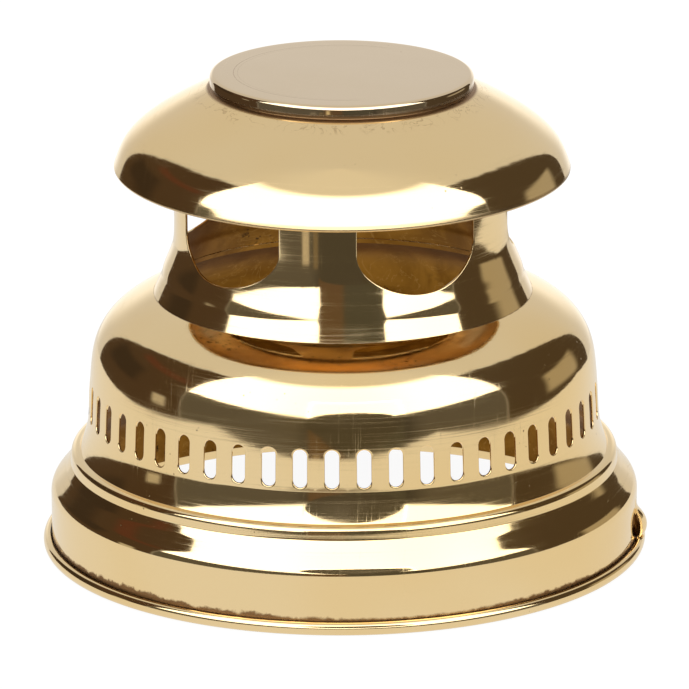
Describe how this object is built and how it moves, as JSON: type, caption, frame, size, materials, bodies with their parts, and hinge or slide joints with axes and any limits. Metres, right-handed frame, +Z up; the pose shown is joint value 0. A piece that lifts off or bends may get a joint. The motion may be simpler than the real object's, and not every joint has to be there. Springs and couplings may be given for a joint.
{
  "type": "lantern ventilator hood",
  "caption": "Polished brass ventilator hood of a pressure lantern: rain cap, windowed neck, domed slotted body, stepped skirt with rolled rim.",
  "frame": {"origin": "centre of the rolled rim's underside, on the hood's axis", "axes": "+Z up along the hood's axis towards the cap, +X through the mouth of the bayonet pocket"},
  "size_m": [0.1651, 0.164, 0.1315],
  "materials": {
    "body_brass": "mirror polished with fine spinning lines",
    "neck_brass": "mirror polished, tarnished brown inside",
    "cap_brass": "mirror polished with fine spinning lines",
    "disc_brass": "polished, lightly brushed",
    "rivet_brass": "dull, unpolished",
    "wire_steel": "drawn wire"
  },
  "bodies": {
    "root": {"body_shell": "body_brass", "rim_wire": "wire_steel", "neck_shell": "neck_brass", "cap_dome": "cap_brass", "cap_rivets": "rivet_brass", "top_disc": "disc_brass"}
  },
  "joints": []
}
